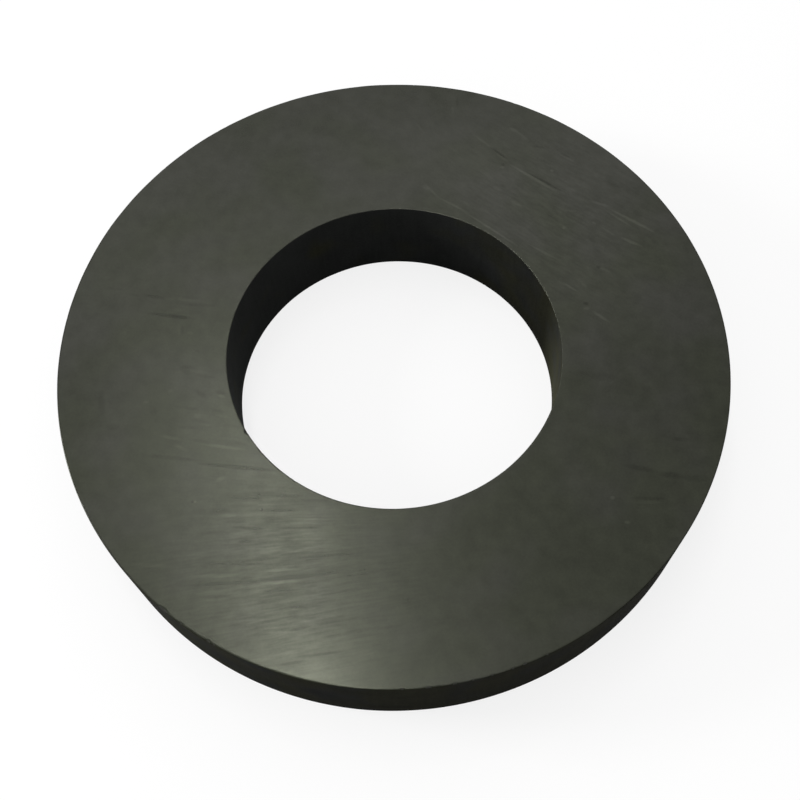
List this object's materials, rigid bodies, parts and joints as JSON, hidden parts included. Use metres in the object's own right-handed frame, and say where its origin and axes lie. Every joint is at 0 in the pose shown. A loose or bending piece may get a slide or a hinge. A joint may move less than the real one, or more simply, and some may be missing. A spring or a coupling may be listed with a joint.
{
  "type": "ring magnet",
  "caption": "Flat hard-ferrite ring magnet with a straight through bore, ground pole faces and slightly flaked corners.",
  "frame": {"origin": "centre of the bore, on the bottom pole face", "axes": "+Z along the bore axis, from the bottom pole face to the top one; the ring is round, so X and Y only say where its flakes and grinding marks lie, with -Y at the front"},
  "size_m": [0.1, 0.1, 0.016],
  "materials": {
    "ferrite": "matt, as fired outside and in the bore, ground to a dull sheen on both pole faces"
  },
  "bodies": {
    "root": {"magnet_ring": "ferrite"}
  },
  "joints": []
}
